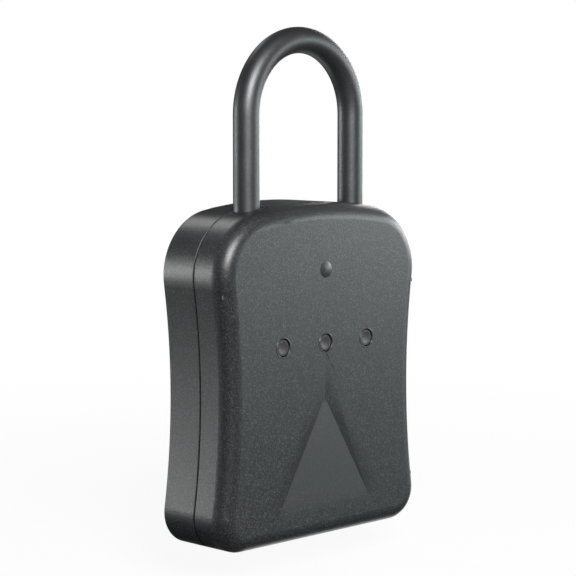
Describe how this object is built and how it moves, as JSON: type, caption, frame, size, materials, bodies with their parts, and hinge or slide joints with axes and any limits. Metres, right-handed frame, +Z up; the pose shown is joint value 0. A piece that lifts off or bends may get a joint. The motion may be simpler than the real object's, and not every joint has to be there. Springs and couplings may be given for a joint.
{
  "type": "portable key safe",
  "caption": "Waisted key safe that hangs from a removable U shackle, with a drop-down front cover, push buttons, a motor-driven lock bar and a key compartment with hooks.",
  "frame": {"origin": "middle of the case's flat foot, on the surface it stands on, under the middle of its depth", "axes": "+X to the right as seen from the front, +Y to the back of the case, +Z up along the shackle legs"},
  "size_m": [0.102, 0.0332, 0.1849],
  "materials": {
    "case_moulding": "fine grained charcoal moulding with a soft sheen",
    "soft_pad": "matt anti-scratch rubber",
    "seal_rubber": "soft black silicone",
    "steel_pin": "drawn steel",
    "shackle_steel": "satin dark grey coat on hardened steel",
    "latch_metal": "dark die-cast metal",
    "sheet_steel": "zinc plated sheet",
    "screw_steel": "plated screw steel",
    "hook_plastic": "satin moulded plastic",
    "lens_plastic": "smoky translucent lens",
    "lamp_clear": "clear lamp body",
    "board_laminate": "green circuit laminate",
    "switch_plastic": "black switch body",
    "inner_plastic": "black moulded inner plastic",
    "contact_nickel": "nickel plated contact",
    "bar_steel": "ground steel bar",
    "guide_plastic": "natural bearing plastic",
    "pinion_brass": "cut brass",
    "motor_can": "drawn steel can",
    "button_plastic": "charcoal moulded cap",
    "cell_jacket": "plain printed jacket"
  },
  "bodies": {
    "case": {"rear_case": "case_moulding", "back_pad": "soft_pad", "cover_gasket": "seal_rubber", "hinge_pins": "steel_pin", "shackle_seals": "seal_rubber", "latch_bracket": "sheet_steel", "latch_screws": "screw_steel", "keeper_bracket": "sheet_steel", "keeper_screws": "screw_steel", "key_hook": "hook_plastic", "hook_screws": "screw_steel"},
    "shackle_bow": {"shackle": "shackle_steel"},
    "latch_slide": {"shackle_latch": "latch_metal"},
    "cover": {"front_cover": "case_moulding", "status_lens": "lens_plastic", "status_light": "lamp_clear", "circuit_board": "board_laminate", "board_screws": "screw_steel", "button_switches": "switch_plastic", "keypad_mat": "seal_rubber", "battery_tray": "inner_plastic", "battery_contacts": "contact_nickel", "battery_cover": "inner_plastic", "battery_cell_lower": "cell_jacket", "battery_cell_middle": "cell_jacket", "battery_cell_upper": "cell_jacket", "cover_plate": "inner_plastic", "plate_screws": "screw_steel", "bar_guides": "guide_plastic", "gear_motor": "motor_can", "motor_clamp": "sheet_steel"},
    "bar_slide": {"lock_bar": "bar_steel"},
    "pinion": {"lock_pinion": "pinion_brass", "motor_shaft": "steel_pin"},
    "key_left": {"button_left": "button_plastic"},
    "key_centre": {"button_centre": "button_plastic"},
    "key_right": {"button_right": "button_plastic"}
  },
  "joints": [
    {"name": "cover_hinge", "type": "hinge", "parent": "case", "child": "cover", "pos_m": [0, -0.00588, 0.0032], "axis": [1, 0, 0], "range_deg": [0, 90]},
    {"name": "shackle_lift", "type": "slide", "parent": "case", "child": "shackle_bow", "axis": [0, 0, 1], "range_m": [0, 0.024]},
    {"name": "latch_move", "type": "slide", "parent": "case", "child": "latch_slide", "axis": [-1, 0, 0], "range_m": [0, 0.0034]},
    {"name": "lock_bar_lift", "type": "slide", "parent": "cover", "child": "bar_slide", "axis": [0, 0, 1], "range_m": [0, 0.0042]},
    {"name": "pinion_spin", "type": "hinge", "parent": "cover", "child": "pinion", "pos_m": [0, -0.0096, 0.0545], "axis": [1, 0, 0], "range_deg": [0, 81]},
    {"name": "button_left_press", "type": "slide", "parent": "cover", "child": "key_left", "axis": [0, 1, 0], "range_m": [0, 0.0006], "stiffness_N_per_m": 3000},
    {"name": "button_centre_press", "type": "slide", "parent": "cover", "child": "key_centre", "axis": [0, 1, 0], "range_m": [0, 0.0006], "stiffness_N_per_m": 3000},
    {"name": "button_right_press", "type": "slide", "parent": "cover", "child": "key_right", "axis": [0, 1, 0], "range_m": [0, 0.0006], "stiffness_N_per_m": 3000}
  ],
  "couplings": [
    {"joint": "pinion_spin", "follows": "lock_bar_lift", "rad_per_m": 333.33}
  ]
}
